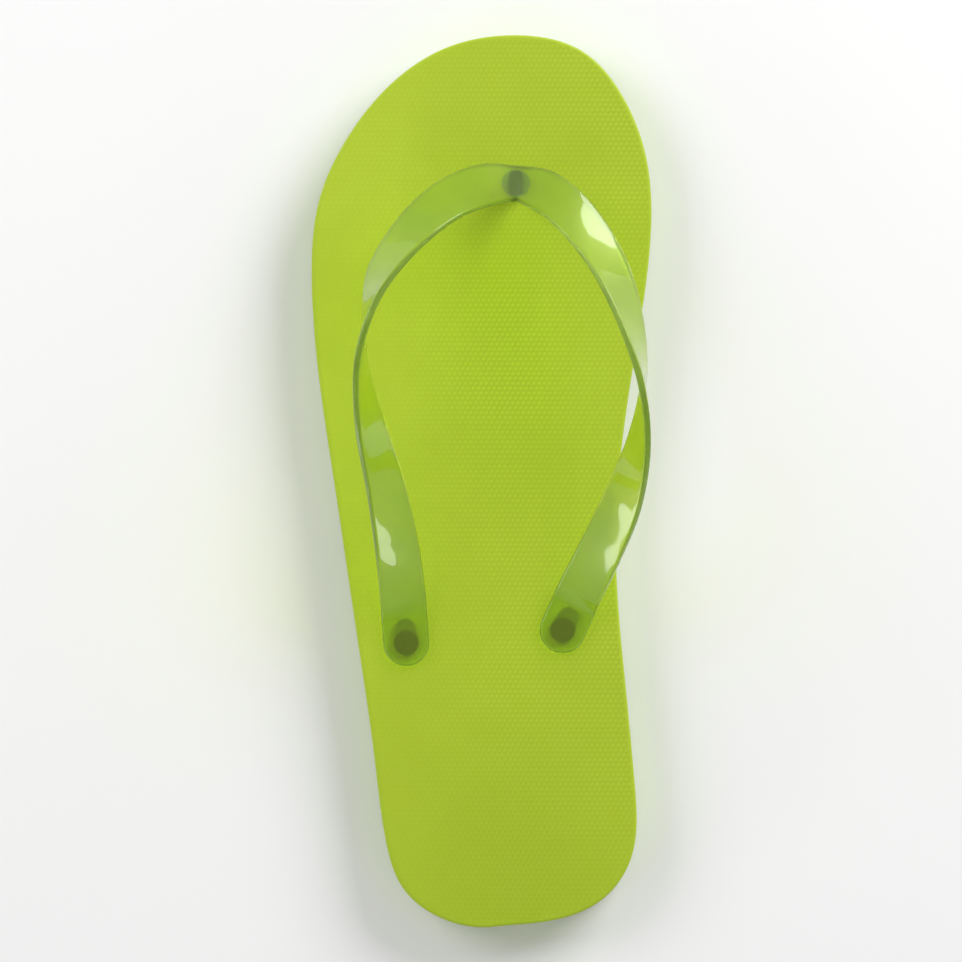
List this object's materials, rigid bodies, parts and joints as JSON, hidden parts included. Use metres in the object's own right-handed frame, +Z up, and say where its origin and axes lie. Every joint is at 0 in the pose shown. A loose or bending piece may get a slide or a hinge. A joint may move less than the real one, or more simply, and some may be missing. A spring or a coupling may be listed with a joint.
{
  "type": "flip flop",
  "caption": "Left-foot flip flop: flat laminated foam sole, translucent Y strap on a toe post and side plugs; the sole bends across the ball of the foot.",
  "frame": {"origin": "centre of the footprint's bounding box, on the ground under the outsole", "axes": "+Y to the toe, +X to the medial side of a left foot, +Z up"},
  "size_m": [0.1029, 0.2702, 0.0546],
  "materials": {
    "footbed_foam": "lime closed-cell foam, finely embossed",
    "midsole_foam": "lime closed-cell foam, matt cut wall",
    "outsole_rubber": "lime foam rubber, matt, grooved",
    "strap_pvc": "glossy translucent green soft plastic",
    "plug_pvc": "dark green soft plastic"
  },
  "bodies": {
    "forefoot": {"footbed_front": "footbed_foam", "midsole_front": "midsole_foam", "outsole_front": "outsole_rubber", "toe_plug": "plug_pvc", "strap": "strap_pvc"},
    "rearfoot": {"footbed_rear": "footbed_foam", "midsole_rear": "midsole_foam", "outsole_rear": "outsole_rubber", "lateral_plug": "plug_pvc", "medial_plug": "plug_pvc"}
  },
  "joints": [
    {"name": "ball_flex", "type": "hinge", "parent": "forefoot", "child": "rearfoot", "pos_m": [0, 0.05, 0.015], "axis": [-1, 0, 0], "range_deg": [0, 45], "stiffness_Nm_per_rad": 0.4, "deforming": ["strap"]}
  ]
}
